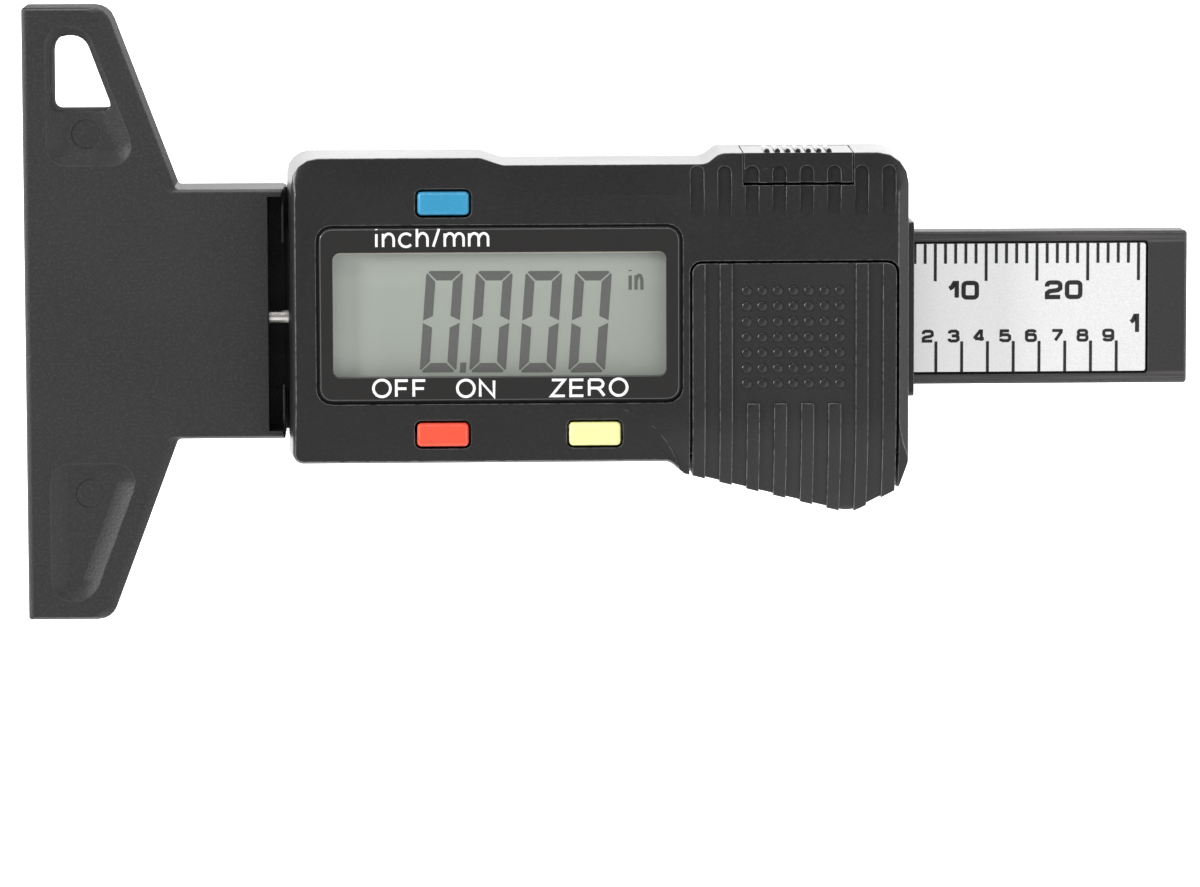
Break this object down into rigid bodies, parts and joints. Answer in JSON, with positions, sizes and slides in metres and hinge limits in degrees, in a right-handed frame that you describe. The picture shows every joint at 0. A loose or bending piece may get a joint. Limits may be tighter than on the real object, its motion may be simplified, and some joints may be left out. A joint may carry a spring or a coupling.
{
  "type": "tire tread depth gauge",
  "caption": "Digital tread depth gauge: black T-shaped measuring base, display housing with colour keys, sliding ruler bar with a steel probe pin.",
  "frame": {"origin": "bottom centre of the bounding box, at the middle of the back of the gauge as it lies on its back", "axes": "+X along the gauge from the measuring face to the free end of the ruler bar, +Z out of the display, +Y towards the data port side"},
  "size_m": [0.1138, 0.06, 0.0155],
  "materials": {
    "base_plastic": "fine spark-eroded matte",
    "housing_plastic": "satin moulded",
    "bar_plastic": "satin moulded",
    "window_acrylic": "clear, black printed border",
    "lcd_glass": "grey-green display",
    "holder_plastic": "moulded",
    "strip_rubber": "banded elastomer",
    "board_laminate": "solder mask",
    "chip_epoxy": "moulded epoxy",
    "gold_contact": "gold flash",
    "contact_nickel": "nickel plated",
    "cell_steel": "plated can",
    "switch_shell": "tinned shell",
    "spring_steel": "bright strip",
    "screw_steel": "zinc plated",
    "pin_steel": "ground bright",
    "scale_silver": "fine-grained silver",
    "grid_copper": "etched copper",
    "blue_key": "satin",
    "red_key": "satin",
    "yellow_key": "satin"
  },
  "bodies": {
    "housing": {"measuring_base": "base_plastic", "base_screw_1": "screw_steel", "base_screw_2": "screw_steel", "rear_frame": "housing_plastic", "front_cover": "housing_plastic", "housing_screw_1": "screw_steel", "housing_screw_2": "screw_steel", "housing_screw_3": "screw_steel", "housing_screw_4": "screw_steel", "slide_spring": "spring_steel", "display_window": "window_acrylic", "lcd_module": "lcd_glass", "lcd_holder": "holder_plastic", "contact_strip_lower": "strip_rubber", "contact_strip_upper": "strip_rubber", "circuit_board": "board_laminate", "board_screw_1": "screw_steel", "board_screw_2": "screw_steel", "control_chip": "chip_epoxy", "port_contact_1": "gold_contact", "port_contact_2": "gold_contact", "port_contact_3": "gold_contact", "port_contact_4": "gold_contact", "battery": "cell_steel", "negative_contact": "contact_nickel", "positive_contact": "contact_nickel", "unit_switch": "switch_shell", "power_switch": "switch_shell", "zero_switch": "switch_shell"},
    "ruler": {"ruler_bar": "bar_plastic", "scale_plate": "scale_silver", "scale_grid": "grid_copper", "probe_pin": "pin_steel", "stop_screw": "screw_steel"},
    "unit_key": {"unit_button": "blue_key"},
    "power_key": {"power_button": "red_key"},
    "zero_key": {"zero_button": "yellow_key"},
    "cell_door": {"battery_cover": "housing_plastic"},
    "port_door": {"port_cover": "housing_plastic"}
  },
  "joints": [
    {"name": "probe_slide", "type": "slide", "parent": "housing", "child": "ruler", "axis": [-1, 0, 0], "range_m": [0, 0.0254]},
    {"name": "unit_press", "type": "slide", "parent": "housing", "child": "unit_key", "axis": [0, 0, -1], "range_m": [0, 0.0004], "stiffness_N_per_m": 1000},
    {"name": "power_press", "type": "slide", "parent": "housing", "child": "power_key", "axis": [0, 0, -1], "range_m": [0, 0.0004], "stiffness_N_per_m": 1000},
    {"name": "zero_press", "type": "slide", "parent": "housing", "child": "zero_key", "axis": [0, 0, -1], "range_m": [0, 0.0004], "stiffness_N_per_m": 1000},
    {"name": "cell_door_slide", "type": "slide", "parent": "housing", "child": "cell_door", "axis": [0, -1, 0], "range_m": [0, 0.014]},
    {"name": "port_door_pull", "type": "slide", "parent": "housing", "child": "port_door", "axis": [0, 1, 0], "range_m": [0, 0.004]}
  ]
}
